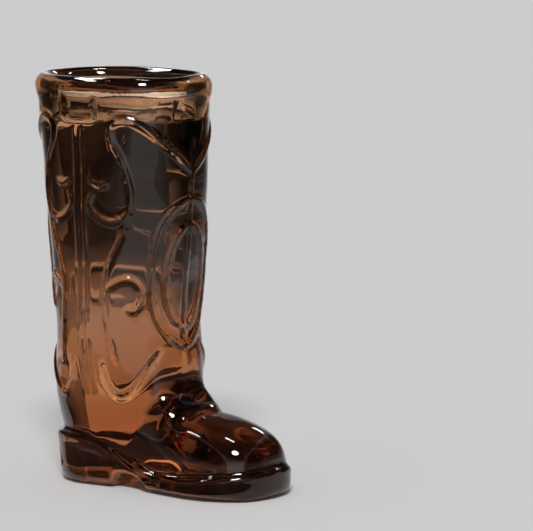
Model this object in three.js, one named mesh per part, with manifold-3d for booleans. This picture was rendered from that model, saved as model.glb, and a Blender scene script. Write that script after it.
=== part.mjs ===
// A boot shot glass: a western boot of pressed glass, whose leg is an open cup.
// Millimetres, +Z up, toe towards +X. Distances along X start at the back of the heel,
// and the finished boot is then moved so that the origin lies under its middle, on the table.
import * as THREE from "three";
import { mergeVertices } from "three/addons/utils/BufferGeometryUtils.js";
import Module from "manifold-3d";

const wasm = await Module();
wasm.setup();

// Main heights above the table
const bootHeight = 89;
const lipHeight = 3;
const ankleJoin = 21;
const cupFloorThickness = 12;

// Leg sections from the seat of the heel up to the lip: middle along X, length along X, width along Y
const legWidth = 30.2;
const seatTuck = 9.8;
const counterTuck = 3.8;
const waistTuck = 0.6;
const rimFlare = 0.2;
const seat = { height: 8, middle: 16.9, length: 30, width: legWidth - seatTuck };
const counter = { height: 20, middle: 17, length: 33.8, width: legWidth - counterTuck };
const waist = { height: 36, middle: 17.1, length: 31, width: legWidth - waistTuck };
const calf = { height: 57, middle: 17.1, length: 35, width: legWidth };
const rim = { height: bootHeight - lipHeight, middle: 16.6, length: 40.2, width: legWidth + rimFlare };
const legSections = [seat, counter, waist, calf, rim];
const legSquareness = 2.2;

// Walls of the cup and the bead of the lip
const rimWall = 2.8;
const cupBaseWall = 6;
const cupFloorRounding = 8.5;
const lipBulge = 0.4;

// Vamp sections from under the leg to the toe box: distance from the heel, top line and width
const shinRun = 3.5;
const instepRun = 2.5;
const saddleRun = 2.5;
const throatRun = 3.5;
const vampRoot = { from: 20, top: 26, width: 18 };
const shin = { from: 30, top: 25.4, width: 20.2 };
const instep = { from: shin.from + shinRun, top: 22.2, width: 21.2 };
const saddle = { from: instep.from + instepRun, top: 19, width: 21.7 };
const throat = { from: saddle.from + saddleRun, top: 17.2, width: 21.8 };
const ball = { from: throat.from + throatRun, top: 16.6, width: 21.6 };
const vampSections = [vampRoot, shin, instep, saddle, throat, ball];
const vampBase = 4;
const vampLength = 56.4;
const toeTipHeight = 7;
const toeTipFullness = 0.05;
const vampSquareness = 2.8;
const toeBoxSquareness = 2.8;

// Sole and heel
const soleLength = 58;
const heelWidth = 24;
const archFrom = 25;
const archWidth = 22.4;
const ballWidth = 25.8;
const toeSquareness = 2.2;
const edgeRounding = 1.8;
const heelTaper = 1.2;

// Top line of the welt, where the upper stands on the sole
const seatEnd = 15;
const shankRun = 6;
const weltAtHeel = 11;
const weltAtSeatEnd = 10.8;
const weltAtArch = 6.7;
const weltAtShank = 4.6;
const weltAtBall = 4.4;
const weltAtToe = 6.4;

// Arch between the heel and the sole
const notchFrom = 20.2;
const notchLength = 10;
const notchHeight = 2.8;

// Raised lines, each a list of angle from the side seam towards the shin and height above the table
const lineWidth = 1.9;
const lineTopWidth = 0.5;
const lineRise = 0.6;
const lineSunk = 0.5;
const seamWidth = 1.2;
const seamAngle = 2.4;
const strapAngle = 10.5;
const strapBottom = 80.3;
const strapCorner = 2.2;
const scroll = [
  [90, 68.4], [59, 75.8], [44, 79], [31, 80.4], [22, 78.6], [24, 75], [31, 71], [36, 67], [38, 63.4],
  [36, 60], [31, 55.2], [23, 50.2], [19, 45.8], [19, 40.2], [22, 33.6], [26, 27.4],
];
const smallCap = [[6, 67.4], [13, 66.2], [20, 66.6]];
const smallBowl = [[9, 64.6], [6, 62], [12, 59.6], [22, 58.4], [32, 59.2], [37, 61.6]];
const midCurl = [[20, 43.6], [28, 45.4], [39, 46], [48, 44], [48, 41], [43, 39.2], [38, 39.8]];
const lowerSwag = [
  [13, 27.6], [14, 24.2], [18, 22.8], [26, 22.6], [36, 23.4], [46, 25.2], [56, 27.8], [65, 30.3],
];
const medallionOuter = [
  [90, 63], [73, 60.8], [60, 56.8], [54, 51], [53.5, 45], [57, 39.6], [65, 35.4], [77, 32.4], [90, 30.5],
];
const medallionInner = [[90, 57.6], [79, 55], [72.5, 51], [70, 46], [72.5, 41], [79, 37], [90, 34.6]];
const stitchLines = [scroll, smallCap, smallBowl, midCurl, lowerSwag, medallionOuter, medallionInner];

// Fineness of the round shapes, and the gap at a parting that isn't flat
const weldDistance = 1e-4;
const legSides = 40;
const legRows = 12;
const cupRows = 8;
const cupFloorRows = 4;
const vampRows = 16;
const vampSides = 32;
const curveSides = 8;
const edgeRows = 3;
const partingGap = 0.1;
const reach = 200;

const glassFinish = { color: 0x8a4a1e, roughness: 0.06, metalness: 0 };

// Numbers and curves

function spread(count) {
  return Array.from({ length: count + 1 }, (_, index) => index / count);
}

function smoothSize(sections, placeName, sizeName, place) {
  const last = sections.length - 1;
  let low = 0;
  while (low < last - 1 && place > sections[low + 1][placeName]) {
    low += 1;
  }
  const slope = (index) => {
    const before = sections[Math.max(index - 1, 0)];
    const after = sections[Math.min(index + 1, last)];
    return (after[sizeName] - before[sizeName]) / (after[placeName] - before[placeName]);
  };
  const start = sections[low];
  const end = sections[low + 1];
  const span = end[placeName] - start[placeName];
  const rise = end[sizeName] - start[sizeName];
  const t = (place - start[placeName]) / span;
  const startBend = slope(low) * span - rise;
  const endBend = rise - slope(low + 1) * span;
  return start[sizeName] + rise * t + t * (1 - t) * ((1 - t) * startBend + t * endBend);
}

function squareWave(value, squareness) {
  return Math.sign(value) * Math.abs(value) ** (2 / squareness);
}

// Solids

function gridSolid(rings, closedLoop) {
  const sides = rings[0].length;
  const points = rings.flat();
  const triangles = [];
  const lastRing = closedLoop ? rings.length : rings.length - 1;
  for (let row = 0; row < lastRing; row += 1) {
    const here = row * sides;
    const there = ((row + 1) % rings.length) * sides;
    for (let side = 0; side < sides; side += 1) {
      const next = (side + 1) % sides;
      triangles.push(here + side, here + next, there + next);
      triangles.push(here + side, there + next, there + side);
    }
  }
  if (!closedLoop) {
    capRing(points, triangles, 0, rings[0], true);
    capRing(points, triangles, (rings.length - 1) * sides, rings.at(-1), false);
  }
  const geometry = new THREE.BufferGeometry().setFromPoints(points);
  geometry.setIndex(triangles);
  return solidOf(geometry);
}

function capRing(points, triangles, first, ring, facesBack) {
  const middle = ring.reduce((sum, point) => sum.add(point), new THREE.Vector3());
  const hub = points.push(middle.divideScalar(ring.length)) - 1;
  ring.forEach((_, side) => {
    const next = first + ((side + 1) % ring.length);
    triangles.push(...(facesBack ? [hub, next, first + side] : [hub, first + side, next]));
  });
}

function solidOf(geometry) {
  geometry.deleteAttribute("normal");
  geometry.deleteAttribute("uv");
  const merged = mergeVertices(geometry, weldDistance);
  const mesh = new wasm.Mesh({
    numProp: 3,
    vertProperties: new Float32Array(merged.attributes.position.array),
    triVerts: new Uint32Array(merged.index.array),
  });
  return new wasm.Manifold(mesh);
}

function meshOf(name, solid) {
  const { vertProperties, triVerts } = solid.getMesh();
  const geometry = new THREE.BufferGeometry();
  geometry.setAttribute("position", new THREE.BufferAttribute(vertProperties, 3));
  geometry.setIndex(new THREE.BufferAttribute(triVerts, 1));
  geometry.computeVertexNormals();
  const mesh = new THREE.Mesh(geometry, new THREE.MeshStandardMaterial(glassFinish));
  mesh.name = name;
  return mesh;
}

function blockBetween(low, high) {
  const geometry = new THREE.BoxGeometry(high.x - low.x, high.y - low.y, high.z - low.z);
  geometry.translate((low.x + high.x) / 2, (low.y + high.y) / 2, (low.z + high.z) / 2);
  return solidOf(geometry);
}

function slab(lowHeight, highHeight) {
  const low = new THREE.Vector3(-reach, -reach, lowHeight);
  return blockBetween(low, new THREE.Vector3(reach, reach, highHeight));
}

function sideProfilePrism(shape) {
  const extrusion = { depth: 2 * reach, bevelEnabled: false, curveSegments: curveSides };
  const geometry = new THREE.ExtrudeGeometry(shape, extrusion);
  geometry.rotateX(Math.PI / 2);
  geometry.translate(0, reach, 0);
  return solidOf(geometry);
}

// Leg, cup and lip

function legSize(height) {
  const sizeOf = (name) => smoothSize(legSections, "height", name, height);
  return { middle: sizeOf("middle"), halfLength: sizeOf("length") / 2, halfWidth: sizeOf("width") / 2 };
}

function legPoint(angle, height, inset) {
  const { middle, halfLength, halfWidth } = legSize(height);
  const along = (halfLength - inset) * squareWave(Math.cos(angle), legSquareness);
  const across = (halfWidth - inset) * squareWave(Math.sin(angle), legSquareness);
  return new THREE.Vector3(middle + along, across, height);
}

function legRing(height, inset) {
  return spread(legSides).slice(1).map((turn) => legPoint(turn * 2 * Math.PI, height, inset));
}

function legColumn() {
  const heights = spread(legRows).map((share) => seat.height + share * (rim.height - seat.height));
  return gridSolid(heights.map((height) => legRing(height, 0)), false);
}

function cup() {
  const floor = ankleJoin + cupFloorThickness;
  const roundTop = floor + cupFloorRounding;
  const wallAt = (height) => {
    const share = (height - floor) / (rim.height - floor);
    return cupBaseWall + share * (rimWall - cupBaseWall);
  };
  const bottomRings = spread(cupFloorRows).slice(0, -1).map((share) => {
    const lean = (share * Math.PI) / 2;
    const extraInset = cupFloorRounding * (1 - Math.sin(lean));
    const height = roundTop - cupFloorRounding * Math.cos(lean);
    return legRing(height, wallAt(height) + extraInset);
  });
  const wallRings = spread(cupRows).map((share) => {
    const height = roundTop + share * (rim.height - roundTop);
    return legRing(height, wallAt(height));
  });
  const mouth = legRing(rim.height, rimWall).map((point) => point.setZ(rim.height + lipHeight));
  return gridSolid([...bottomRings, ...wallRings, mouth], false);
}

function lip() {
  const halfWall = rimWall / 2 + lipBulge;
  const section = spread(curveSides).map((share) => {
    const turn = share * Math.PI;
    return { inset: rimWall / 2 - halfWall * Math.cos(turn), rise: lipHeight * Math.sin(turn) };
  });
  const rings = section.map(({ inset, rise }) => {
    return legRing(rim.height, inset).map((point) => point.setZ(rim.height + rise));
  });
  return gridSolid(rings, true);
}

// Raised lines

function raisedLine(points, width, side, facing) {
  const drawing = new THREE.SplineCurve(points.map(([angle, height]) => new THREE.Vector2(angle, height)));
  const places = drawing.getPoints(points.length);
  const onLeg = (place, inset) => {
    return legPoint(side * THREE.MathUtils.degToRad(90 - facing * place.x), place.y, inset);
  };
  const rings = places.map((place, index) => {
    const foot = onLeg(place, lineSunk);
    const before = onLeg(places[Math.max(index - 1, 0)], lineSunk);
    const after = onLeg(places[Math.min(index + 1, places.length - 1)], lineSunk);
    const outward = onLeg(place, 0).sub(foot).normalize();
    const sideways = after.sub(before).cross(outward).normalize();
    const corner = (across, rise) => {
      return foot.clone().addScaledVector(sideways, across).addScaledVector(outward, lineSunk + rise);
    };
    const halfTop = (width * lineTopWidth) / 2;
    const top = [corner(-halfTop, lineRise), corner(halfTop, lineRise)];
    return [corner(-width / 2, -lineSunk), ...top, corner(width / 2, -lineSunk)];
  });
  return gridSolid(rings, false);
}

function allRaisedLines() {
  const strapSide = strapAngle - strapCorner;
  const pullStrap = [
    [strapAngle, rim.height], [strapAngle, strapBottom + strapCorner],
    [strapSide, strapBottom], [0, strapBottom],
  ];
  const seamHeights = [strapBottom, calf.height, waist.height, counter.height, seat.height];
  const seam = seamHeights.map((height) => [seamAngle, height]);
  const lines = [];
  for (const side of [-1, 1]) {
    for (const facing of [-1, 1]) {
      lines.push(raisedLine(seam, seamWidth, side, facing));
      lines.push(raisedLine(pullStrap, lineWidth, side, facing));
      lines.push(...stitchLines.map((points) => raisedLine(points, lineWidth, side, facing)));
    }
  }
  return lines;
}

// Foot

function vampRing(from, top, width) {
  return spread(vampSides).slice(1).map((turn) => {
    const angle = turn * 2 * Math.PI;
    const across = (width / 2) * squareWave(Math.cos(angle), vampSquareness);
    const rise = squareWave(Math.sin(angle), vampSquareness);
    return new THREE.Vector3(from, across, vampBase + rise * (rise > 0 ? top - vampBase : vampBase));
  });
}

function vamp() {
  const bodyRings = spread(vampRows).map((share) => {
    const from = vampRoot.from + share * (ball.from - vampRoot.from);
    const sizeOf = (name) => smoothSize(vampSections, "from", name, from);
    return vampRing(from, sizeOf("top"), sizeOf("width"));
  });
  const crownSlope = (ball.top - throat.top) / (ball.from - throat.from);
  const toeRings = spread(curveSides).slice(1).map((share) => {
    const turn = (share * Math.PI) / 2;
    const from = ball.from + (vampLength - ball.from) * squareWave(Math.sin(turn), toeBoxSquareness);
    const fullness = squareWave(Math.max(Math.cos(turn), toeTipFullness), toeBoxSquareness);
    const crown = ball.top + crownSlope * (from - ball.from);
    return vampRing(from, toeTipHeight + (crown - toeTipHeight) * fullness, ball.width * fullness);
  });
  return gridSolid([...bodyRings, ...toeRings], false);
}

function underWelt(drop) {
  const line = new THREE.SplineCurve([
    new THREE.Vector2(soleLength, weltAtToe - drop),
    new THREE.Vector2(ball.from, weltAtBall - drop),
    new THREE.Vector2(archFrom + shankRun, weltAtShank - drop),
    new THREE.Vector2(archFrom, weltAtArch - drop),
    new THREE.Vector2(seatEnd, weltAtSeatEnd - drop),
    new THREE.Vector2(0, weltAtHeel - drop),
  ]);
  const shape = new THREE.Shape();
  shape.moveTo(-reach, -reach);
  shape.lineTo(reach, -reach);
  shape.lineTo(reach, weltAtToe - drop);
  line.getPoints(2 * curveSides).forEach((point) => shape.lineTo(point.x, point.y));
  shape.lineTo(-reach, weltAtHeel - drop);
  return sideProfilePrism(shape);
}

// Sole and heel

function soleOutline() {
  const heelRadius = heelWidth / 2;
  const outline = new THREE.Path();
  outline.absarc(heelRadius, 0, heelRadius, Math.PI, 1.5 * Math.PI, false);
  outline.splineThru([
    new THREE.Vector2(archFrom, -archWidth / 2),
    new THREE.Vector2(ball.from, -ballWidth / 2),
  ]);
  const toe = spread(curveSides).slice(1).map((share) => {
    const turn = (share * Math.PI) / 2;
    const along = (soleLength - ball.from) * squareWave(Math.sin(turn), toeSquareness);
    const across = (ballWidth / 2) * squareWave(Math.cos(turn), toeSquareness);
    return new THREE.Vector2(ball.from + along, -across);
  });
  const nearSide = [...outline.getPoints(curveSides), ...toe];
  const farSide = nearSide.slice(1, -1).reverse().map((point) => new THREE.Vector2(point.x, -point.y));
  return [...nearSide, ...farSide];
}

function insetOutline(outline, inset, height) {
  const heelLean = Math.max(1 - height / weltAtHeel, 0) * heelTaper;
  return outline.map((point, index) => {
    const before = outline.at(index - 1);
    const after = outline[(index + 1) % outline.length];
    const inward = after.clone().sub(before).normalize().rotateAround(new THREE.Vector2(), Math.PI / 2);
    const lean = heelLean * Math.max(1 - point.x / archFrom, 0);
    return new THREE.Vector3(point.x + inward.x * inset + lean, point.y + inward.y * inset, height);
  });
}

function soleBlock() {
  const outline = soleOutline();
  const edgeRings = spread(edgeRows).map((share) => {
    const turn = (share * Math.PI) / 2;
    return insetOutline(outline, edgeRounding * (1 - Math.sin(turn)), edgeRounding * (1 - Math.cos(turn)));
  });
  return gridSolid([...edgeRings, insetOutline(outline, 0, weltAtHeel + edgeRounding)], false);
}

function archNotch() {
  const middle = notchFrom + notchLength / 2;
  const shape = new THREE.Shape();
  shape.absellipse(middle, 0, notchLength / 2, notchHeight, 0, 2 * Math.PI, false, 0);
  return sideProfilePrism(shape);
}

// The boot, parted at the lip, the ankle, the welt and the heel's front
const outside = [legColumn(), vamp(), ...allRaisedLines()].reduce((whole, piece) => whole.add(piece));
const hollow = cup();
const sole = soleBlock().intersect(underWelt(partingGap)).subtract(archNotch());
const heelFront = notchFrom + notchLength / 4;
const behindHeelFront = blockBetween(
  new THREE.Vector3(-reach, -reach, -reach),
  new THREE.Vector3(heelFront, reach, reach),
);

const boot = new THREE.Group();
boot.add(meshOf("lip", lip()));
boot.add(meshOf("leg", outside.intersect(slab(ankleJoin, rim.height)).subtract(hollow)));
boot.add(meshOf("foot", outside.intersect(slab(0, ankleJoin)).subtract(underWelt(0))));
boot.add(meshOf("sole", sole.subtract(behindHeelFront)));
boot.add(meshOf("heel", sole.intersect(behindHeelFront)));

const backReach = rim.middle - rim.length / 2 - lipBulge;
boot.position.x = -(soleLength + backReach) / 2;

export default boot;
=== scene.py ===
import math

import bpy
from mathutils import Matrix, Vector
from mathutils.kdtree import KDTree


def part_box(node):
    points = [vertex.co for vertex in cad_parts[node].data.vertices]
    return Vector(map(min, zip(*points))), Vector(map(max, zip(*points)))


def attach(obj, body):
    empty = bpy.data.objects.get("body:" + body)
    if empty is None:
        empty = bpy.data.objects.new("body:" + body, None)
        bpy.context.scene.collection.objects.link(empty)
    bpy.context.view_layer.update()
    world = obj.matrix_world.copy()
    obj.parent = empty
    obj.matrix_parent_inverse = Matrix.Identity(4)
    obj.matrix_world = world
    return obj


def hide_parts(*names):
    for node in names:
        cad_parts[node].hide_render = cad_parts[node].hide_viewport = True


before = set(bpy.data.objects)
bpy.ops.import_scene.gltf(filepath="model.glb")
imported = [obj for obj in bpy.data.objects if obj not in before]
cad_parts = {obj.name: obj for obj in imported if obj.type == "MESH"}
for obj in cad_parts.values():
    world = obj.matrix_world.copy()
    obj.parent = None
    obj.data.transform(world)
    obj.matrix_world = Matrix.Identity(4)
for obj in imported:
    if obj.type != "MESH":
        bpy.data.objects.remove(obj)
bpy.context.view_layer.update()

# Sizes of the boot, in millimetres until a point is placed, with X measured from the back of the heel
MM = 0.001
HEEL_BACK_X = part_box("heel")[0][0]
RIM_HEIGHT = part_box("leg")[1][2] / MM
BOOT_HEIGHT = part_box("lip")[1][2] / MM
SOLE_LENGTH = (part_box("sole")[1][0] - HEEL_BACK_X) / MM

# Leg sections: height, middle along X, length along X, width along Y
LEG_SECTIONS = (
    (8.0, 16.9, 30.0, 20.4),
    (20.0, 17.0, 33.8, 26.4),
    (36.0, 17.1, 31.0, 29.6),
    (57.0, 17.1, 35.0, 30.2),
    (RIM_HEIGHT, 16.6, 40.2, 30.4),
)
LEG_SQUARENESS = 2.2
RIM_WALL = 2.8
CUP_BASE_WALL = 6.0
CUP_FLOOR = 33.0
CUP_FLOOR_ROUNDING = 8.5
LIP_BULGE = 0.5
LIP_FLARE = 3.2
LIP_WAVER = 0.35
LIP_WAVES = 5

# Vamp sections: distance from the heel, top line, width
VAMP_SECTIONS = (
    (20.0, 26.0, 18.0),
    (30.0, 25.4, 20.2),
    (33.5, 22.2, 21.2),
    (36.0, 19.0, 21.7),
    (38.5, 17.2, 21.8),
    (42.0, 16.6, 21.6),
)
VAMP_LENGTH = 56.4
TOE_TIP_HEIGHT = 7.0
TOE_BOX_SQUARENESS = 2.8
VAMP_SQUARENESS = 2.8
VAMP_BASE = 4.0
VAMP_UNDERSIDE = 2.0

# Instep and ankles, where the melted skin is smoothed into a flowing curve
INSTEP_FROM = 34.0
INSTEP_HEIGHT = 20.5
INSTEP_REACH = 9.0
INSTEP_WIDTH_SHARE = 0.5
INSTEP_ROUNDS = 120
ANKLE_FROM = 17.0
ANKLE_SIDE = 11.6
ANKLE_HEIGHT = 14.5
ANKLE_REACH = 9.0
ANKLE_ROUNDS = 40

# Top edge of the vamp, from the side to the middle of the instep: distance from the heel, across, height
THROAT_EDGE = (
    (27.4, 11.0, 16.2), (29.2, 10.6, 16.6), (31.0, 9.9, 17.0), (32.7, 9.2, 17.2), (34.4, 8.3, 17.4),
    (36.0, 7.1, 17.5), (37.3, 5.6, 17.3), (38.4, 3.9, 17.0), (39.0, 2.0, 16.9), (39.2, 0.0, 16.9),
)
THROAT_RISE = 0.15
THROAT_WIDTH = 0.8
THROAT_WIDTHS_REACHED = 3

# Sole and heel, with the welt's top line: distance from the heel, height
WELT_LINE = ((0.0, 11.0), (15.0, 10.8), (25.0, 6.7), (31.0, 4.6), (42.0, 4.4), (SOLE_LENGTH, 6.4))
HEEL_WIDTH = 24.0
ARCH_FROM = 25.0
ARCH_WIDTH = 22.4
BALL_FROM = 42.0
BALL_WIDTH = 25.8
SOLE_TOP_SQUARENESS = 2.4
SOLE_BASE_SQUARENESS = 3.2
SQUARENESS_GAIN = 0.9
TOE_SQUARENESS = 2.2
HEEL_TAPER = 1.2
BEAD_RADIUS = 1.2
BEAD_DROP = 1.1
BEAD_INSET = 1.1
NOTCH_FROM = 20.2
NOTCH_LENGTH = 10.0
NOTCH_HEIGHT = 2.8
TOE_LIFT = 2.4
TOE_LIFT_RUN = 4.0

# Raised lines: angle from the side seam towards the shin, height above the table
SCROLL = (
    (90, 68.4), (75, 72.4), (59, 75.8), (44, 79.0), (31, 80.4), (22, 78.6), (24, 75.0), (31, 71.0),
    (36, 67.0), (38, 63.4), (36, 60.0), (31, 55.2), (23, 50.2), (19, 45.8), (19, 40.2), (22, 33.6),
    (26, 27.4),
)
SMALL_CAP = ((6, 67.4), (13, 66.2), (20, 66.6))
SMALL_BOWL = ((9, 64.6), (6, 62.0), (12, 59.6), (22, 58.4), (32, 59.2), (37, 61.6))
MID_CURL = ((20, 43.6), (28, 45.4), (39, 46.0), (48, 44.0), (48, 41.0), (43, 39.2), (38, 39.8))
LOWER_SWAG = (
    (13, 27.6), (14, 24.2), (18, 21.6), (25, 20.2), (34, 21.2), (45, 24.4), (56, 27.8), (65, 30.3),
)
MEDALLION_OUTER = (
    (90, 63.0), (74, 60.8), (62, 56.8), (57, 51.0), (56.5, 45.0), (59.5, 39.6), (67, 35.4), (78, 32.4),
    (90, 30.5),
)
MEDALLION_INNER = ((90, 57.6), (79, 55.0), (72.5, 51.0), (70, 46.0), (72.5, 41.0), (79, 37.0), (90, 34.6))
# Painted highlight: the curls and swags take a lighter amber colour that stands in for light refracted by
# their edges, reaching and fading in millimetres
LINE_PAINTED_GLINT = (1.0, 0.58, 0.31)
LINE_GLINT_REACH = 0.8
LINE_GLINT_FADE = 0.5
BRIGHT_LINES = (SMALL_CAP, SMALL_BOWL, MID_CURL, LOWER_SWAG)
STITCH_LINES = (*BRIGHT_LINES, SCROLL, MEDALLION_OUTER, MEDALLION_INNER)
LINE_RADIUS = 0.66
LINE_SUNK = 0.05
LINE_END = 0.55
LINE_TAPER_STEPS = 4
LINE_STEPS = 6
SEAM_ANGLE = 2.4
SEAM_HEIGHTS = (70, 57, 45, 34, 27, 20, 14, 9)
SEAM_RADIUS = 0.55
MOULD_SEAM = ((90, 76.0), (90, 66.0), (90, 56.0), (90, 46.0), (90, 36.0), (90, 27.0))
MOULD_SEAM_RADIUS = 0.45
STRAP_ANGLE = 10.5
STRAP_BOTTOM = 80.3
STRAP_CORNER = 2.2

# Unevenness of the pressed glass
WAVE_LENGTH = 9.0
WAVE_HEIGHT = 0.35
WAVE_FROM = 1.0
WAVE_FADE = 4.0
RIPPLES_PER_METRE = 140
RIPPLE_STRENGTH = 0.12
RIPPLE_DEPTH = 0.6
RIPPLE_DETAIL = 1
SMEARS_PER_METRE = 60
SMEAR_ROUGHNESS = 0.05
SMEAR_DETAIL = 4

# Drink
DRINK_HEIGHT = 78.9
MENISCUS_RISE = 0.7
MENISCUS_WIDTH = 1.4
DRINK_OVERLAP = 0.06
WETTED_MARGIN = 0.8
DRINK_TOP_SLOPE = 0.3

# Bending of light by the glass and by the drink
GLASS_IOR = 1.52
DRINK_IOR = 1.52

# Absorption inside the glass and the drink: colour and density per metre
GLASS_ABSORPTION = ((0.8, 0.41, 0.06), 30)
DRINK_ABSORPTION = ((0.62, 0.44, 0.34), 34)

# Tint of the glass by height, with painted shade and light in it: darker in the foot and in the band below
# the lip, lighter in the lower leg and just above the drink, standing in for the shade and light that the
# glass shows. The height counts as less towards the toe, with X from the boot's middle
LEAN_FROM = -6.0
LEAN_TO = 20.0
LEAN_DEPTH = 10.0
GLASS_TINT_AND_PAINTED_SHADE = (
    (0.0, (0.06, 0.02, 0.008)),
    (2.0, (0.12, 0.045, 0.02)),
    (5.0, (0.3, 0.13, 0.07)),
    (8.0, (0.5, 0.24, 0.14)),
    (11.0, (0.42, 0.16, 0.07)),
    (14.0, (0.36, 0.13, 0.053)),
    (18.5, (0.38, 0.16, 0.074)),
    (24.0, (0.54, 0.255, 0.12)),
    (36.0, (0.64, 0.345, 0.19)),
    (70.0, (0.43, 0.23, 0.125)),
    (79.0, (0.72, 0.41, 0.22)),
    (81.5, (0.5, 0.26, 0.13)),
    (83.0, (0.26, 0.125, 0.062)),
    (85.0, (0.3, 0.145, 0.07)),
    (86.4, (0.46, 0.23, 0.11)),
    (87.6, (0.62, 0.33, 0.17)),
    (BOOT_HEIGHT, (0.84, 0.54, 0.36)),
)

# Painted light: redder streaks along the foot that stand in for light refracted through it, at a height
# counted as for the tint: waves per metre, slope in degrees
STREAK_WAVES = (28, 170, 230)
STREAK_SLOPE = 14
STREAK_TINT = (1.0, 0.36, 0.15)
STREAK_MIDDLE = 2.5
STREAK_REACH = 6.0
STREAK_FADE = 3.0
STREAK_BAND = (0.49, 0.62)
STREAK_DETAIL = 1

# Fineness
LEG_COLUMNS = 160
LEG_ROWS = 220
VAMP_COLUMNS = 96
VAMP_ROWS = 120
SOLE_COLUMNS = 96
SOLE_ROWS = 240
DRINK_COLUMNS = 128
DRINK_ROWS = 160
WELD_GAP = 0.01
BEAD_STEPS = 160
TUBE_ROUNDNESS = 3
VOXEL = 0.44
HIDDEN_SHARE = 0.25
BOTTOM_MARGIN = 0.02
SMOOTHING_ROUNDS = 3
SMOOTHING_FACTOR = 0.5

# Floor, in metres, the fill light that softens the shadow on it, and the backdrop's grey behind it
FLOOR_RADIUS = 6
FLOOR_SIDES = 96
FLOOR_GREY = 0.62
FLOOR_ROUGHNESS = 0.9
FLOOR_SHEEN = 0.1
FILL_LIGHT = 0.37
BACKDROP_GREY = 0.6

# Bright horizon and dark top of the sky that the glass mirrors: height of the direction, grey
SKY_HORIZON = (0.16, 1.0)
SKY_TOP = (0.42, 0.03)

# Least grey that the glass sees through itself, so that its rolled rim shows amber
SEEN_THROUGH_GLASS = 0.16
WORLD_CHOICES = (
    ("Is Transmission Ray", SEEN_THROUGH_GLASS, "LIGHTEN"),
    ("Is Diffuse Ray", FILL_LIGHT, "MIX"),
    ("Is Camera Ray", BACKDROP_GREY, "MIX"),
)

# Overhead light
SUN_POWER = 2.72
SUN_ANGLE = 14
SUN_AIM = (-0.59, 0.76, -0.95)

# Lamps that show only as reflections: name, place in metres, width, height, power
LAMPS = (
    ("top", (0.0, 0.0, 0.7), 0.16, 0.05, 0.75),
    ("key", (-0.35, -0.75, 0.55), 0.06, 0.1, 0.4),
    ("strip", (0.85, -0.05, 0.3), 0.16, 0.4, 0.3),
    ("back", (-0.1, 0.7, 0.45), 0.3, 0.06, 0.5),
    ("window", (-0.6, -0.05, 0.85), 0.9, 0.12, 5.4),
    ("side_window", (0.55, 0.5, 0.65), 0.08, 0.16, 1.0),
)
LAMP_AIM = (0, 0, 0.045)

# Black cards round the boot, in metres
CARD_BLACK = 0.01
CARD_GREY = 0.6
CARD_ROUGHNESS = 0.9
SIDE_CARD_DISTANCE = 0.16
SIDE_CARD_LENGTH = 0.8
SIDE_CARD_HEIGHT = 0.2
SIDE_CARD_FADE = (0.2, 0.45)
LEG_CARD_SPOT = (-0.009, 0, 0.055)
LEG_CARD_BEHIND = 0.06
LEG_CARD_SIZE = (0.05, 0.042)
LEG_CARD_FADE = 0.3
FOOT_CARD_SPOT = (-0.004, 0, 0.0005)
FOOT_CARD_BEHIND = 0.065
FOOT_CARD_SIZE = (0.06, 0.1)
FRONT_CARD_SPOT = (-0.03, -0.0635, 0.0003)
FRONT_CARD_SIZE = (0.3, 0.1)

# Camera, as the photograph shows the boot: pixels, degrees, and metres for the distance
IMAGE_WIDTH = 533
IMAGE_HEIGHT = 531
SENSOR = 36.0
CAMERA_AZIMUTH = 39.947
CAMERA_ELEVATION = 7.84
CAMERA_DISTANCE = 0.804
CAMERA_ROLL = 0.873
PIXELS_PER_METRE = 4643.0
MID_PIXEL_X = 162.75
MID_PIXEL_Y = 280.15


def smooth_size(sections, where, column):
    """A size between the sections, on a smooth curve through them."""
    last = len(sections) - 1
    low = 0
    while low < last - 1 and where > sections[low + 1][0]:
        low += 1

    def slope(index):
        before = sections[max(index - 1, 0)]
        after = sections[min(index + 1, last)]
        return (after[column] - before[column]) / (after[0] - before[0])

    start = sections[low]
    end = sections[low + 1]
    span = end[0] - start[0]
    rise = end[column] - start[column]
    t = (where - start[0]) / span
    start_bend = slope(low) * span - rise
    end_bend = rise - slope(low + 1) * span
    return start[column] + rise * t + t * (1 - t) * ((1 - t) * start_bend + t * end_bend)


def square_wave(value, squareness):
    """A sine or cosine made squarer, so that an oval gets fuller corners."""
    return math.copysign(abs(value) ** (2 / squareness), value)


def place(along, across, height):
    return Vector((HEEL_BACK_X + along * MM, across * MM, height * MM))


def leg_point(angle, height, inset):
    """A point on the leg's outside, or on a smaller oval that lies inset from it."""
    section_height = min(height, RIM_HEIGHT)
    middle = smooth_size(LEG_SECTIONS, section_height, 1)
    half_length = smooth_size(LEG_SECTIONS, section_height, 2) / 2 - inset
    half_width = smooth_size(LEG_SECTIONS, section_height, 3) / 2 - inset
    along = middle + max(half_length, 0) * square_wave(math.cos(angle), LEG_SQUARENESS)
    across = max(half_width, 0) * square_wave(math.sin(angle), LEG_SQUARENESS)
    return place(along, across, height)


def cup_wall(height):
    share = (height - CUP_FLOOR) / (RIM_HEIGHT - CUP_FLOOR)
    return CUP_BASE_WALL + share * (RIM_WALL - CUP_BASE_WALL)


def cup_inset(height):
    inset = cup_wall(height)
    below = (CUP_FLOOR + CUP_FLOOR_ROUNDING - height) / CUP_FLOOR_ROUNDING
    if below > 0:
        inset += CUP_FLOOR_ROUNDING * (1 - math.sqrt(max(1 - below ** 2, 0)))
    return inset


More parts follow.
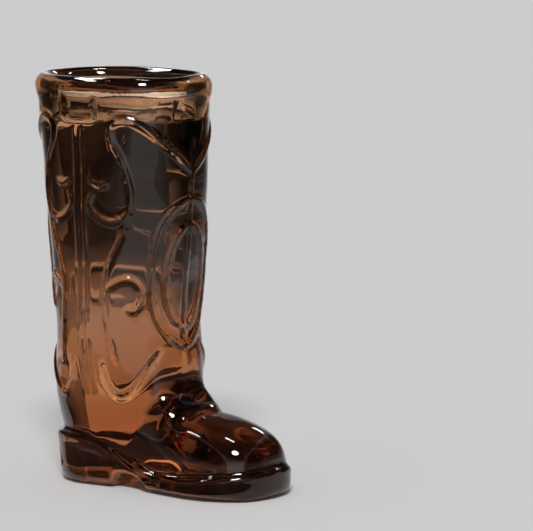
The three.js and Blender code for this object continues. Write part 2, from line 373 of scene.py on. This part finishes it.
def is_inside(point):
    """True on the inside of the cup."""
    height = point.z / MM
    if height > RIM_HEIGHT or height < CUP_FLOOR - WETTED_MARGIN:
        return False
    inset = cup_inset(height) - WETTED_MARGIN
    along = (point.x - HEEL_BACK_X) / MM - smooth_size(LEG_SECTIONS, height, 1)
    half_length = smooth_size(LEG_SECTIONS, height, 2) / 2 - inset
    half_width = smooth_size(LEG_SECTIONS, height, 3) / 2 - inset
    across = point.y / MM
    return abs(along / half_length) ** LEG_SQUARENESS + abs(across / half_width) ** LEG_SQUARENESS < 1


def is_wetted(point):
    return is_inside(point) and point.z < (DRINK_HEIGHT + MENISCUS_RISE) * MM


def mark_faces(piece, name, is_marked):
    mark = piece.data.attributes.new(name, "FLOAT", "FACE")
    for face in piece.data.polygons:
        mark.data[face.index].value = float(is_marked(face))


def cup_point(angle, share, top, overlap):
    """A point on the cup's inside, from its floor's middle at share 0 to its wall at the height top."""
    floor_share = 0.12
    corner_share = 0.3
    round_top = CUP_FLOOR + CUP_FLOOR_ROUNDING
    if share > corner_share:
        height = round_top + (share - corner_share) / (1 - corner_share) * (top - round_top)
        return leg_point(angle, height, cup_wall(height) - overlap)
    corner_turn = max(share - floor_share, 0) / (corner_share - floor_share) * math.pi / 2
    height = round_top - (CUP_FLOOR_ROUNDING + overlap) * math.cos(corner_turn)
    corner_inset = CUP_FLOOR_ROUNDING * (1 - math.sin(corner_turn))
    edge = leg_point(angle, height, cup_wall(height) - overlap + corner_inset)
    if share > floor_share:
        return edge
    centre = place(smooth_size(LEG_SECTIONS, height, 1), 0, height)
    return centre.lerp(edge, share / floor_share)


def rolled_grid(name, columns, rows, point_at):
    """A closed skin: a flat grid is added, then rolled round until its two sides and its end rows meet."""
    bpy.ops.object.select_all(action="DESELECT")
    bpy.ops.mesh.primitive_grid_add(x_subdivisions=columns, y_subdivisions=rows, size=1, location=(0, 0, 0))
    skin = bpy.context.object
    skin.name = name
    for vertex in skin.data.vertices:
        vertex.co = point_at((vertex.co.x + 0.5) * 2 * math.pi, vertex.co.y + 0.5)
    bpy.ops.object.mode_set(mode="EDIT")
    bpy.ops.mesh.select_all(action="SELECT")
    bpy.ops.mesh.remove_doubles(threshold=WELD_GAP * MM)
    bpy.ops.mesh.normals_make_consistent(inside=False)
    bpy.ops.object.mode_set(mode="OBJECT")
    return skin


def leg_with_cup():
    seat = LEG_SECTIONS[0][0]
    lip_height = BOOT_HEIGHT - RIM_HEIGHT
    half_lip = RIM_WALL / 2 + LIP_BULGE
    seat_share = 0.04
    outside_share = 0.46
    rim_share = 0.5
    lip_share = 0.1

    def point_at(angle, share):
        if share < seat_share:
            centre = place(smooth_size(LEG_SECTIONS, seat, 1), 0, seat)
            return centre.lerp(leg_point(angle, seat, 0), share / seat_share)
        if share < rim_share:
            height = seat + (share - seat_share) / outside_share * (RIM_HEIGHT - seat)
            flare_run = LIP_FLARE * (1 + LIP_WAVER * math.sin(LIP_WAVES * angle))
            flare = max(height - RIM_HEIGHT + flare_run, 0) / flare_run
            return leg_point(angle, height, -LIP_BULGE * flare * flare * (3 - 2 * flare))
        if share < rim_share + lip_share:
            turn = (share - rim_share) / lip_share * math.pi
            inset = RIM_WALL / 2 - half_lip * math.cos(turn)
            return leg_point(angle, RIM_HEIGHT + lip_height * math.sin(turn), inset)
        return cup_point(angle, (1 - share) / (1 - rim_share - lip_share), RIM_HEIGHT, 0)

    return rolled_grid("leg_blank", LEG_COLUMNS, LEG_ROWS, point_at)


def vamp():
    root = VAMP_SECTIONS[0][0]
    throat = VAMP_SECTIONS[-2]
    ball = VAMP_SECTIONS[-1]
    crown_slope = (ball[1] - throat[1]) / (ball[0] - throat[0])
    toe_share = 0.5

    def point_at(angle, share):
        if share < toe_share:
            along = root + share / toe_share * (ball[0] - root)
            top = smooth_size(VAMP_SECTIONS, along, 1)
            width = smooth_size(VAMP_SECTIONS, along, 2)
        else:
            turn = (share - toe_share) / (1 - toe_share) * math.pi / 2
            along = ball[0] + (VAMP_LENGTH - ball[0]) * square_wave(math.sin(turn), TOE_BOX_SQUARENESS)
            fullness = square_wave(max(math.cos(turn), 0), TOE_BOX_SQUARENESS)
            crown = ball[1] + crown_slope * (along - ball[0])
            top = TOE_TIP_HEIGHT + (crown - TOE_TIP_HEIGHT) * fullness
            width = ball[2] * fullness
        if share == 0:
            width = 0
        across = width / 2 * square_wave(math.cos(angle), VAMP_SQUARENESS)
        rise = square_wave(math.sin(angle), VAMP_SQUARENESS)
        reach = top - VAMP_BASE if rise > 0 else VAMP_UNDERSIDE
        return place(along, across, VAMP_BASE + (reach * rise if width > 0 else 0))

    return rolled_grid("vamp_blank", VAMP_COLUMNS, VAMP_ROWS, point_at)


def sole_half_width(along):
    heel = HEEL_WIDTH / 2
    if along < heel:
        return math.sqrt(max(heel ** 2 - (heel - along) ** 2, 0))
    if along > BALL_FROM:
        share = min((along - BALL_FROM) / (SOLE_LENGTH - BALL_FROM), 1)
        return BALL_WIDTH / 2 * (1 - share ** TOE_SQUARENESS) ** (1 / TOE_SQUARENESS)
    widths = ((heel, HEEL_WIDTH / 2), (ARCH_FROM, ARCH_WIDTH / 2), (BALL_FROM, BALL_WIDTH / 2))
    return smooth_size(widths, along, 1)


def sole_and_heel():
    def point_at(angle, share):
        along = SOLE_LENGTH * (1 - math.cos(share * math.pi)) / 2
        top = smooth_size(WELT_LINE, along, 1)
        notch_share = (along - NOTCH_FROM - NOTCH_LENGTH / 2) / (NOTCH_LENGTH / 2)
        low = NOTCH_HEIGHT * math.sqrt(max(1 - notch_share ** 2, 0))
        toe_share = max(1 - (SOLE_LENGTH - along) / TOE_LIFT_RUN, 0)
        low += TOE_LIFT * (1 - math.sqrt(1 - toe_share ** 2))
        half_width = sole_half_width(along)
        squareness = SOLE_TOP_SQUARENESS if math.sin(angle) > 0 else SOLE_BASE_SQUARENESS
        squareness += SQUARENESS_GAIN * max((top - low) / 2 - WELT_LINE[-2][1] / 2, 0)
        across = half_width * square_wave(math.cos(angle), squareness)
        half_height = (top - low) / 2 if half_width > 0 else 0
        height = (top + low) / 2 + half_height * square_wave(math.sin(angle), squareness)
        lean = HEEL_TAPER * (1 - height / top) * max(1 - along / ARCH_FROM, 0)
        return place(along + lean, across, height)

    return rolled_grid("sole_blank", SOLE_COLUMNS, SOLE_ROWS, point_at)


def welt_bead():
    """A round bead along the top edge of the sole and the heel."""
    points = []
    for step in range(BEAD_STEPS):
        turn = step / BEAD_STEPS * 2 * math.pi
        along = SOLE_LENGTH * (1 + math.cos(turn)) / 2
        across = math.copysign(sole_half_width(along), math.sin(turn))
        points.append((along, across))
    spots = []
    for index, (along, across) in enumerate(points):
        before = points[index - 1]
        after = points[(index + 1) % BEAD_STEPS]
        run = Vector((after[0] - before[0], after[1] - before[1])).normalized()
        height = smooth_size(WELT_LINE, along, 1) - BEAD_DROP
        spots.append(place(along - run.y * BEAD_INSET, across + run.x * BEAD_INSET, height))
    return tube("bead_blank", spots, [1] * BEAD_STEPS, BEAD_RADIUS, True)


def tube(name, spots, radii, radius, is_ring):
    """A round bar along the spots, drawn as a curve and made a mesh."""
    bpy.ops.object.select_all(action="DESELECT")
    bpy.ops.curve.primitive_nurbs_path_add(location=(0, 0, 0))
    line = bpy.context.object
    line.name = name
    curve = line.data
    curve.splines.clear()
    spline = curve.splines.new("POLY")
    spline.points.add(len(spots) - 1)
    for point, spot, point_radius in zip(spline.points, spots, radii):
        point.co = (*spot, 1)
        point.radius = point_radius
    spline.use_cyclic_u = is_ring
    curve.bevel_depth = radius * MM
    curve.bevel_resolution = TUBE_ROUNDNESS
    curve.use_fill_caps = True
    bpy.ops.object.convert(target="MESH")
    return bpy.context.object


def spline_between(share, before, here, there, after):
    """A smooth curve through four values, from the second at share 0 to the third at share 1."""
    bend = 2 * before - 5 * here + 4 * there - after
    twist = 3 * here - before - 3 * there + after
    return 0.5 * (2 * here + share * (there - before) + share ** 2 * bend + share ** 3 * twist)


def line_spots(points, side, facing):
    """Close points along a smooth line on the leg, from a drawing by angle and height."""
    drawing = []
    for index in range(len(points) - 1):
        before = points[max(index - 1, 0)]
        here = points[index]
        there = points[index + 1]
        after = points[min(index + 2, len(points) - 1)]
        for step in range(LINE_STEPS):
            corners = zip(before, here, there, after)
            drawing.append([spline_between(step / LINE_STEPS, *values) for values in corners])
    drawing.append(points[-1])
    spots = []
    for angle, height in drawing:
        spots.append(leg_point(side * math.radians(90 - facing * angle), height, LINE_SUNK))
    return spots


def raised_line(name, points, radius, side, facing):
    """A round-backed line, half sunk in the glass and thinner at its ends."""
    spots = line_spots(points, side, facing)
    radii = []
    for index in range(len(spots)):
        from_end = min(index, len(spots) - 1 - index)
        radii.append(min(LINE_END + from_end * (1 - LINE_END) / LINE_TAPER_STEPS, 1))
    return tube(name, spots, radii, radius, False)


def raised_lines():
    """All the relief of the leg, the same on both sides, shin and back."""
    strap_side = STRAP_ANGLE - STRAP_CORNER
    strap_corner = STRAP_BOTTOM + STRAP_CORNER
    strap = (
        (STRAP_ANGLE, RIM_HEIGHT), (STRAP_ANGLE, strap_corner), (strap_side, STRAP_BOTTOM),
        (-strap_side, STRAP_BOTTOM), (-STRAP_ANGLE, strap_corner), (-STRAP_ANGLE, RIM_HEIGHT),
    )
    seam = [(SEAM_ANGLE, height) for height in (STRAP_BOTTOM, *SEAM_HEIGHTS)]
    lines = []
    for side in (-1, 1):
        lines.append(raised_line("strap_blank", strap, LINE_RADIUS, side, 1))
        for facing in (-1, 1):
            lines.append(raised_line("mould_seam_blank", MOULD_SEAM, MOULD_SEAM_RADIUS, side, facing))
            lines.append(raised_line("seam_blank", seam, SEAM_RADIUS, side, facing))
            for points in STITCH_LINES:
                lines.append(raised_line("line_blank", points, LINE_RADIUS, side, facing))
    return lines


def nearest_finder(spots):
    """A function that gives the distance from a point to the nearest of the spots."""
    tree = KDTree(len(spots))
    for index, spot in enumerate(spots):
        tree.insert(spot, index)
    tree.balance()
    return lambda point: tree.find(point)[2]


def mark_painted_line_glints(boot):
    """The mark is 1 on a curl or a swag and fades to 0 beside it; it carries a painted highlight of lighter
    amber.
    """
    spots = []
    for side in (-1, 1):
        for facing in (-1, 1):
            for points in BRIGHT_LINES:
                spots.extend(line_spots(points, side, facing))
    near_line = nearest_finder(spots)
    mark = boot.data.attributes.new("painted_line_glint", "FLOAT", "POINT")
    for vertex in boot.data.vertices:
        distance = near_line(vertex.co) / MM
        mark.data[vertex.index].value = min(max(1 - (distance - LINE_GLINT_REACH) / LINE_GLINT_FADE, 0), 1)


def soften(boot, middle, reach, width_share, rounds):
    """The skin round a point is smoothed, most of all at the point itself."""
    group = boot.vertex_groups.new(name="soft")
    for vertex in boot.data.vertices:
        away = vertex.co - middle
        away.y *= width_share
        weight = 1 - away.length / (reach * MM)
        if weight > 0:
            group.add([vertex.index], weight, "REPLACE")
    blend = boot.modifiers.new("blend", "SMOOTH")
    blend.factor = SMOOTHING_FACTOR
    blend.iterations = rounds
    blend.vertex_group = group.name
    bpy.ops.object.modifier_apply(modifier=blend.name)
    boot.vertex_groups.clear()


def raise_throat(boot):
    """The vamp's top edge stands a little proud round the instep."""
    spots = []
    for side in (-1, 1):
        corners = [place(along, side * across, height) for along, across, height in THROAT_EDGE]
        for start, end in zip(corners, corners[1:]):
            for step in range(LINE_STEPS):
                spots.append(boot.closest_point_on_mesh(start.lerp(end, step / LINE_STEPS))[1])
    near_edge = nearest_finder(spots)
    normals = [vertex.normal.copy() for vertex in boot.data.vertices]
    for vertex, normal in zip(boot.data.vertices, normals):
        away = near_edge(vertex.co) / (THROAT_WIDTH * MM)
        if away < THROAT_WIDTHS_REACHED:
            vertex.co += normal * THROAT_RISE * MM * math.exp(-away ** 2)


def ripple_skin(boot):
    """Pressed glass is never quite even, except where it stands on the table."""
    waves = bpy.data.textures.new("waves", "CLOUDS")
    waves.noise_scale = WAVE_LENGTH * MM
    waves.noise_depth = 0
    group = boot.vertex_groups.new(name="waves")
    for vertex in boot.data.vertices:
        weight = min(max(vertex.co.z / MM - WAVE_FROM, 0) / WAVE_FADE, 1)
        group.add([vertex.index], weight, "REPLACE")
    ripple = boot.modifiers.new("ripple", "DISPLACE")
    ripple.texture = waves
    ripple.texture_coords = "LOCAL"
    ripple.strength = WAVE_HEIGHT * MM
    ripple.vertex_group = group.name
    bpy.ops.object.modifier_apply(modifier=ripple.name)
    boot.vertex_groups.clear()


def thin_hidden_faces(boot):
    """The wetted wall and the flat underside need fewer faces than the relief."""
    for face in boot.data.polygons:
        face.select = is_wetted(face.center) or face.center.z < BOTTOM_MARGIN * MM
    bpy.ops.object.mode_set(mode="EDIT")
    bpy.ops.mesh.select_mode(type="FACE")
    bpy.ops.mesh.decimate(ratio=HIDDEN_SHARE)
    bpy.ops.object.mode_set(mode="OBJECT")


def glass_boot():
    """Every moulded form of the boot, melted into one skin as the pressing is."""
    blanks = [leg_with_cup(), vamp(), sole_and_heel(), welt_bead(), *raised_lines()]
    bpy.ops.object.select_all(action="DESELECT")
    for blank in blanks:
        blank.select_set(True)
    boot = blanks[0]
    bpy.context.view_layer.objects.active = boot
    bpy.ops.object.join()
    boot.name = "boot"
    melt = boot.modifiers.new("melt", "REMESH")
    melt.mode = "VOXEL"
    melt.voxel_size = VOXEL * MM
    bpy.ops.object.modifier_apply(modifier=melt.name)
    polish = boot.modifiers.new("polish", "SMOOTH")
    polish.factor = SMOOTHING_FACTOR
    polish.iterations = SMOOTHING_ROUNDS
    bpy.ops.object.modifier_apply(modifier=polish.name)
    instep = place(INSTEP_FROM, 0, INSTEP_HEIGHT)
    soften(boot, instep, INSTEP_REACH, INSTEP_WIDTH_SHARE, INSTEP_ROUNDS)
    for side in (-1, 1):
        ankle = place(ANKLE_FROM, side * ANKLE_SIDE, ANKLE_HEIGHT)
        soften(boot, ankle, ANKLE_REACH, 1, ANKLE_ROUNDS)
    raise_throat(boot)
    ripple_skin(boot)
    thin_hidden_faces(boot)
    bpy.ops.object.shade_smooth()
    mark_faces(boot, "inside", lambda face: is_inside(face.center))
    mark_faces(boot, "wetted", lambda face: is_wetted(face.center))
    mark_painted_line_glints(boot)
    return boot


def drink():
    """The drink fills the cup to its level and climbs a little at the wall."""
    wall_share = 0.7
    top_share = 0.3

    def point_at(angle, share):
        if share < wall_share:
            return cup_point(angle, share / wall_share, DRINK_HEIGHT + MENISCUS_RISE, DRINK_OVERLAP)
        inward = (share - wall_share) / top_share
        wall = leg_point(angle, DRINK_HEIGHT, cup_wall(DRINK_HEIGHT) - DRINK_OVERLAP)
        centre = place(smooth_size(LEG_SECTIONS, DRINK_HEIGHT, 1), 0, DRINK_HEIGHT)
        point = wall.lerp(centre, inward)
        point.z += MENISCUS_RISE * MM * math.exp(-(point - wall).length / (MENISCUS_WIDTH * MM))
        return point

    pool = rolled_grid("drink", DRINK_COLUMNS, DRINK_ROWS, point_at)
    bpy.ops.object.shade_smooth()
    mark_faces(pool, "top", lambda face: face.normal.z > DRINK_TOP_SLOPE)
    return pool


def blended(tree, share, colour, other, way):
    """The colour mixed with another one by a share that comes from the nodes."""
    choice = tree.nodes.new("ShaderNodeMix")
    choice.data_type = "RGBA"
    choice.blend_type = way
    choice.inputs["B"].default_value = (*other, 1)
    tree.links.new(share, choice.inputs["Factor"])
    tree.links.new(colour, choice.inputs["A"])
    return choice.outputs["Result"]


def absorb(material, colour, density):
    """Light fades to the colour on its way through the piece."""
    nodes = material.node_tree.nodes
    tint = nodes.new("ShaderNodeVolumeAbsorption")
    tint.inputs["Color"].default_value = (*colour, 1)
    tint.inputs["Density"].default_value = density
    material.node_tree.links.new(tint.outputs["Volume"], nodes["Material Output"].inputs["Volume"])


def ior_by_face(material, mark_name, plain_ior, marked_ior):
    """Marked faces bend light by another amount than the plain ones."""
    nodes = material.node_tree.nodes
    links = material.node_tree.links
    mark = nodes.new("ShaderNodeAttribute")
    mark.attribute_name = mark_name
    choice = nodes.new("ShaderNodeMapRange")
    choice.inputs["To Min"].default_value = plain_ior
    choice.inputs["To Max"].default_value = marked_ior
    links.new(mark.outputs["Fac"], choice.inputs["Value"])
    links.new(choice.outputs["Result"], nodes["Principled BSDF"].inputs["IOR"])


def painted_refraction_streaks(material, colour, height):
    """The colour with painted light in the foot: redder streaks that stand in for light refracted through
    the glass.
    """
    nodes = material.node_tree.nodes
    links = material.node_tree.links
    coords = nodes.new("ShaderNodeTexCoord")
    stretch = nodes.new("ShaderNodeMapping")
    stretch.inputs["Rotation"].default_value = (0, -math.radians(STREAK_SLOPE), 0)
    stretch.inputs["Scale"].default_value = STREAK_WAVES
    streak_noise = nodes.new("ShaderNodeTexNoise")
    streak_noise.inputs["Scale"].default_value = 1
    streak_noise.inputs["Detail"].default_value = STREAK_DETAIL
    band = nodes.new("ShaderNodeMapRange")
    band.inputs["From Min"].default_value = STREAK_BAND[0]
    band.inputs["From Max"].default_value = STREAK_BAND[1]
    from_middle = nodes.new("ShaderNodeMath")
    from_middle.operation = "SUBTRACT"
    from_middle.inputs[1].default_value = STREAK_MIDDLE * MM
    away = nodes.new("ShaderNodeMath")
    away.operation = "ABSOLUTE"
    foot = nodes.new("ShaderNodeMapRange")
    foot.inputs["From Min"].default_value = STREAK_REACH * MM
    foot.inputs["From Max"].default_value = (STREAK_REACH - STREAK_FADE) * MM
    both = nodes.new("ShaderNodeMath")
    both.operation = "MULTIPLY"
    links.new(coords.outputs["Object"], stretch.inputs["Vector"])
    links.new(stretch.outputs["Vector"], streak_noise.inputs["Vector"])
    links.new(streak_noise.outputs["Fac"], band.inputs["Value"])
    links.new(height, from_middle.inputs[0])
    links.new(from_middle.outputs["Value"], away.inputs[0])
    links.new(away.outputs["Value"], foot.inputs["Value"])
    links.new(band.outputs["Result"], both.inputs[0])
    links.new(foot.outputs["Result"], both.inputs[1])
    return blended(material.node_tree, both.outputs["Value"], colour, STREAK_TINT, "MIX")


def tint_with_painted_shade(material):
    """Painted shade and light in the tint: deep in the foot, pale above the ankle and dark again below the
    lip, as the glass shows shade and light there.
    """
    nodes = material.node_tree.nodes
    links = material.node_tree.links
    coords = nodes.new("ShaderNodeTexCoord")
    split = nodes.new("ShaderNodeSeparateXYZ")
    toe_side = nodes.new("ShaderNodeMapRange")
    toe_side.inputs["From Min"].default_value = LEAN_FROM * MM
    toe_side.inputs["From Max"].default_value = LEAN_TO * MM
    toe_side.inputs["To Max"].default_value = LEAN_DEPTH * MM
    lowered = nodes.new("ShaderNodeMath")
    lowered.operation = "SUBTRACT"
    height = nodes.new("ShaderNodeMapRange")
    height.inputs["From Max"].default_value = BOOT_HEIGHT * MM
    ramp = nodes.new("ShaderNodeValToRGB")
    stops = ramp.color_ramp.elements
    while len(stops) < len(GLASS_TINT_AND_PAINTED_SHADE):
        stops.new(0.5)
    for stop, (level, colour) in zip(stops, GLASS_TINT_AND_PAINTED_SHADE):
        stop.position = level / BOOT_HEIGHT
        stop.color = (*colour, 1)
    links.new(coords.outputs["Object"], split.inputs["Vector"])
    links.new(split.outputs["X"], toe_side.inputs["Value"])
    links.new(split.outputs["Z"], lowered.inputs[0])
    links.new(toe_side.outputs["Result"], lowered.inputs[1])
    links.new(lowered.outputs["Value"], height.inputs["Value"])
    links.new(height.outputs["Result"], ramp.inputs["Fac"])
    colour = painted_refraction_streaks(material, ramp.outputs["Color"], lowered.outputs["Value"])
    # The curls and swags get their painted highlight, and the inside of the cup is left untinted
    for name, marked_colour in (("painted_line_glint", LINE_PAINTED_GLINT), ("inside", (1, 1, 1))):
        mark = nodes.new("ShaderNodeAttribute")
        mark.attribute_name = name
        colour = blended(material.node_tree, mark.outputs["Fac"], colour, marked_colour, "MIX")
    links.new(colour, nodes["Principled BSDF"].inputs["Base Color"])


def amber_glass():
    material = bpy.data.materials.new("amber_glass")
    material.use_nodes = True
    nodes = material.node_tree.nodes
    links = material.node_tree.links
    shader = nodes["Principled BSDF"]
    tint_with_painted_shade(material)
    shader.inputs["Transmission Weight"].default_value = 1
    ior_by_face(material, "wetted", GLASS_IOR, GLASS_IOR / DRINK_IOR)
    coords = nodes.new("ShaderNodeTexCoord")
    ripple = nodes.new("ShaderNodeTexNoise")
    ripple.inputs["Scale"].default_value = RIPPLES_PER_METRE
    ripple.inputs["Detail"].default_value = RIPPLE_DETAIL
    bump = nodes.new("ShaderNodeBump")
    bump.inputs["Strength"].default_value = RIPPLE_STRENGTH
    bump.inputs["Distance"].default_value = RIPPLE_DEPTH * MM
    links.new(coords.outputs["Object"], ripple.inputs["Vector"])
    links.new(ripple.outputs["Fac"], bump.inputs["Height"])
    links.new(bump.outputs["Normal"], shader.inputs["Normal"])
    smear = nodes.new("ShaderNodeTexNoise")
    smear.inputs["Scale"].default_value = SMEARS_PER_METRE
    smear.inputs["Detail"].default_value = SMEAR_DETAIL
    gloss = nodes.new("ShaderNodeMapRange")
    gloss.inputs["To Max"].default_value = SMEAR_ROUGHNESS
    links.new(coords.outputs["Object"], smear.inputs["Vector"])
    links.new(smear.outputs["Fac"], gloss.inputs["Value"])
    links.new(gloss.outputs["Result"], shader.inputs["Roughness"])
    absorb(material, *GLASS_ABSORPTION)
    return material


def dark_drink():
    material = bpy.data.materials.new("dark_drink")
    material.use_nodes = True
    shader = material.node_tree.nodes["Principled BSDF"]
    shader.inputs["Base Color"].default_value = (1, 1, 1, 1)
    shader.inputs["Transmission Weight"].default_value = 1
    ior_by_face(material, "top", 1, DRINK_IOR)
    shader.inputs["Roughness"].default_value = 0
    absorb(material, *DRINK_ABSORPTION)
    return material


def pale_floor():
    bpy.ops.object.select_all(action="DESELECT")
    bpy.ops.mesh.primitive_circle_add(vertices=FLOOR_SIDES, radius=FLOOR_RADIUS, fill_type="NGON")
    floor = bpy.context.object
    floor.name = "floor"
    material = bpy.data.materials.new("pale_floor")
    material.use_nodes = True
    shader = material.node_tree.nodes["Principled BSDF"]
    shader.inputs["Base Color"].default_value = (FLOOR_GREY, FLOOR_GREY, FLOOR_GREY, 1)
    shader.inputs["Roughness"].default_value = FLOOR_ROUGHNESS
    shader.inputs["Specular IOR Level"].default_value = FLOOR_SHEEN
    floor.data.materials.append(material)


def studio_world():
    world = bpy.data.worlds.new("studio")
    bpy.context.scene.world = world
    world.use_nodes = True
    nodes = world.node_tree.nodes
    links = world.node_tree.links
    coords = nodes.new("ShaderNodeTexCoord")
    split = nodes.new("ShaderNodeSeparateXYZ")
    shades = nodes.new("ShaderNodeValToRGB")
    for stop, (level, grey) in zip(shades.color_ramp.elements, (SKY_HORIZON, SKY_TOP)):
        stop.position = level
        stop.color = (grey, grey, grey, 1)
    links.new(coords.outputs["Generated"], split.inputs["Vector"])
    links.new(split.outputs["Z"], shades.inputs["Fac"])
    path = nodes.new("ShaderNodeLightPath")
    colour = shades.outputs["Color"]
    for ray, grey, way in WORLD_CHOICES:
        colour = blended(world.node_tree, path.outputs[ray], colour, (grey, grey, grey), way)
    links.new(colour, nodes["Background"].inputs["Color"])


def studio_lamps():
    light = bpy.data.lights.new("overhead", "SUN")
    light.energy = SUN_POWER
    light.angle = math.radians(SUN_ANGLE)
    sun = bpy.data.objects.new("overhead", light)
    bpy.context.collection.objects.link(sun)
    sun.visible_transmission = False
    sun.rotation_euler = Vector(SUN_AIM).to_track_quat("-Z", "Y").to_euler()
    for name, spot, width, height, power in LAMPS:
        light = bpy.data.lights.new(name, "AREA")
        light.shape = "RECTANGLE"
        light.size = width
        light.size_y = height
        light.energy = power
        lamp = bpy.data.objects.new(name, light)
        bpy.context.collection.objects.link(lamp)
        lamp.location = spot
        lamp.visible_camera = False
        lamp.visible_diffuse = False
        lamp.visible_transmission = False
        aim = Vector(LAMP_AIM) - Vector(spot)
        lamp.rotation_euler = aim.to_track_quat("-Z", "Y").to_euler()


def plain_card(name):
    material = bpy.data.materials.new(name)
    material.use_nodes = True
    shader = material.node_tree.nodes["Principled BSDF"]
    shader.inputs["Base Color"].default_value = (CARD_BLACK, CARD_BLACK, CARD_BLACK, 1)
    shader.inputs["Roughness"].default_value = CARD_ROUGHNESS
    return material


def shade_card(material, share, pale_to, black_from):
    """The card is grey where the share is low and black where it is high."""
    nodes = material.node_tree.nodes
    links = material.node_tree.links
    shades = nodes.new("ShaderNodeValToRGB")
    shades.color_ramp.elements[0].color = (CARD_GREY, CARD_GREY, CARD_GREY, 1)
    shades.color_ramp.elements[0].position = pale_to
    shades.color_ramp.elements[1].color = (CARD_BLACK, CARD_BLACK, CARD_BLACK, 1)
    shades.color_ramp.elements[1].position = black_from
    links.new(share, shades.inputs["Fac"])
    links.new(shades.outputs["Color"], nodes["Principled BSDF"].inputs["Base Color"])


def fading_card():
    """Black at its top and paler towards its foot."""
    material = plain_card("fading_card")
    nodes = material.node_tree.nodes
    links = material.node_tree.links
    coords = nodes.new("ShaderNodeTexCoord")
    split = nodes.new("ShaderNodeSeparateXYZ")
    links.new(coords.outputs["Generated"], split.inputs["Vector"])
    shade_card(material, split.outputs["Y"], 0, LEG_CARD_FADE)
    return material


def soft_edged_card():
    """Black in its middle and paler towards its edges."""
    material = plain_card("black_card")
    nodes = material.node_tree.nodes
    links = material.node_tree.links
    coords = nodes.new("ShaderNodeTexCoord")
    fade = nodes.new("ShaderNodeTexGradient")
    fade.gradient_type = "QUADRATIC_SPHERE"
    links.new(coords.outputs["Object"], fade.inputs["Vector"])
    shade_card(material, fade.outputs["Fac"], *SIDE_CARD_FADE)
    return material


def hidden_card(name, spot, size, turn, material):
    """A card that only reflections and the glass show."""
    bpy.ops.mesh.primitive_plane_add(size=1, location=spot)
    card = bpy.context.object
    card.name = name
    card.scale = (*size, 1)
    card.rotation_euler = turn
    card.visible_camera = False
    card.visible_diffuse = False
    card.visible_shadow = False
    card.data.materials.append(material)


def studio_cards():
    """Black cards round the glass give it dark edges and a dark foot."""
    upright = math.pi / 2
    azimuth = math.radians(CAMERA_AZIMUTH)
    behind = Vector((-math.sin(azimuth), math.cos(azimuth), 0))
    leg_spot = Vector(LEG_CARD_SPOT) + behind * LEG_CARD_BEHIND
    hidden_card("leg_card", leg_spot, LEG_CARD_SIZE, (upright, 0, azimuth), fading_card())
    # The foot card lies where the boot's shadow falls behind the foot, a black sheet that stands in for
    # that shade as the glass shows it
    foot_spot = Vector(FOOT_CARD_SPOT) + behind * FOOT_CARD_BEHIND
    hidden_card("foot_card", foot_spot, FOOT_CARD_SIZE, (0, 0, azimuth), plain_card("foot_card"))
    hidden_card("front_card", FRONT_CARD_SPOT, FRONT_CARD_SIZE, (0, 0, 0), plain_card("front_card"))
    material = soft_edged_card()
    for side in (-1, 1):
        spot = Vector((math.cos(azimuth), math.sin(azimuth), 0)) * side * SIDE_CARD_DISTANCE
        spot.z = SIDE_CARD_HEIGHT / 2
        size = (SIDE_CARD_LENGTH, SIDE_CARD_HEIGHT)
        hidden_card("card", spot, size, (upright, 0, azimuth + upright), material)


def photo_camera():
    azimuth = math.radians(CAMERA_AZIMUTH)
    elevation = math.radians(CAMERA_ELEVATION)
    roll = math.radians(CAMERA_ROLL)
    level = math.cos(elevation)
    back = Vector((math.sin(azimuth) * level, -math.cos(azimuth) * level, math.sin(elevation)))
    level_right = Vector((math.cos(azimuth), math.sin(azimuth), 0))
    level_up = back.cross(level_right)
    right = level_right * math.cos(roll) - level_up * math.sin(roll)
    up = level_up * math.cos(roll) + level_right * math.sin(roll)
    middle = Vector((0, 0, BOOT_HEIGHT * MM / 2))
    spot = middle + back * CAMERA_DISTANCE
    aim = middle + right * (IMAGE_WIDTH / 2 - MID_PIXEL_X) / PIXELS_PER_METRE
    aim += up * (MID_PIXEL_Y - IMAGE_HEIGHT / 2) / PIXELS_PER_METRE
    away = (spot - aim).normalized()
    right = up.cross(away).normalized()
    up = away.cross(right)
    data = bpy.data.cameras.new("camera")
    data.sensor_width = SENSOR
    data.lens = SENSOR * PIXELS_PER_METRE * CAMERA_DISTANCE / IMAGE_WIDTH
    camera = bpy.data.objects.new("camera", data)
    bpy.context.collection.objects.link(camera)
    turn = Matrix((right, up, away)).transposed().to_4x4()
    camera.matrix_world = Matrix.Translation(spot) @ turn
    bpy.context.scene.camera = camera


boot = glass_boot()
boot.data.materials.clear()
boot.data.materials.append(amber_glass())
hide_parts("lip", "leg", "foot", "sole", "heel")
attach(boot, "root")

pool = drink()
pool.data.materials.clear()
pool.data.materials.append(dark_drink())
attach(pool, "root")

pale_floor()
studio_world()
studio_lamps()
studio_cards()
photo_camera()
bpy.context.scene.view_settings.view_transform = "Standard"
